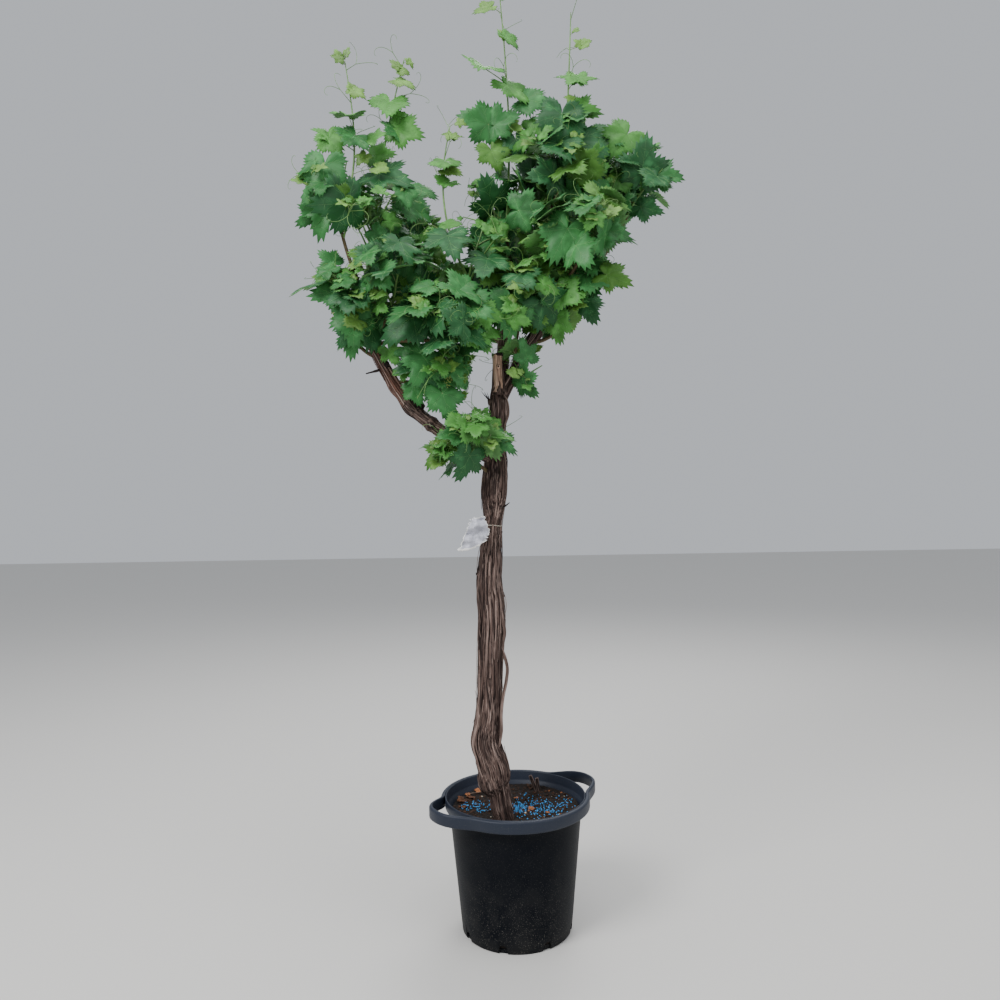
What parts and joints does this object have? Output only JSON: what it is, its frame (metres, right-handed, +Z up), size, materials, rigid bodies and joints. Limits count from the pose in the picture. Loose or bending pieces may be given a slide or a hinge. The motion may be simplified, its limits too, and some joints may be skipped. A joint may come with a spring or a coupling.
{
  "type": "potted grapevine",
  "caption": "Tall standard grapevine with a bare woody trunk, forked cut arms and a broad leafy crown, growing in a round plastic nursery pot with two bow handles.",
  "frame": {"origin": "centre of the pot's flat underside, on the ground", "axes": "+X to the viewer's right, +Y away from the viewer, +Z up along the trunk"},
  "size_m": [1.0382, 0.6419, 2.5401],
  "materials": {
    "pot_plastic": "slightly dusty moulded plastic, satin",
    "compost": "moist crumbly potting compost with fertiliser granules",
    "bark": "dark shredding bark in long strips with pale fibres",
    "red_bark": "reddish brown year-old cane bark",
    "cut_wood": "pale weathered cut wood",
    "foliage": "mature green leaves on green shoots",
    "young_foliage": "young yellow-green leaves on green shoots",
    "label_sheet": "blank white crumpled sheet"
  },
  "bodies": {
    "root": {"pot": "pot_plastic", "handle_right": "pot_plastic", "handle_left": "pot_plastic", "compost": "compost", "root_stump": "bark", "trunk": "bark", "left_arm_lower": "bark", "left_arm_upper": "red_bark", "trunk_stub": "cut_wood", "right_arm": "bark", "centre_arm": "bark", "left_low_leaves": "foliage", "left_high_leaves": "foliage", "left_middle_leaves": "foliage", "left_heart_leaves": "foliage", "elbow_leaves": "foliage", "front_low_leaves": "foliage", "centre_leaves": "foliage", "centre_high_leaves": "foliage", "right_heart_leaves": "foliage", "right_low_leaves": "foliage", "right_front_leaves": "foliage", "right_high_leaves": "foliage", "right_far_leaves": "foliage", "back_left_leaves": "foliage", "back_right_leaves": "foliage", "trunk_leaves": "young_foliage", "stub_leaves": "young_foliage", "plant_label": "label_sheet"}
  },
  "joints": []
}
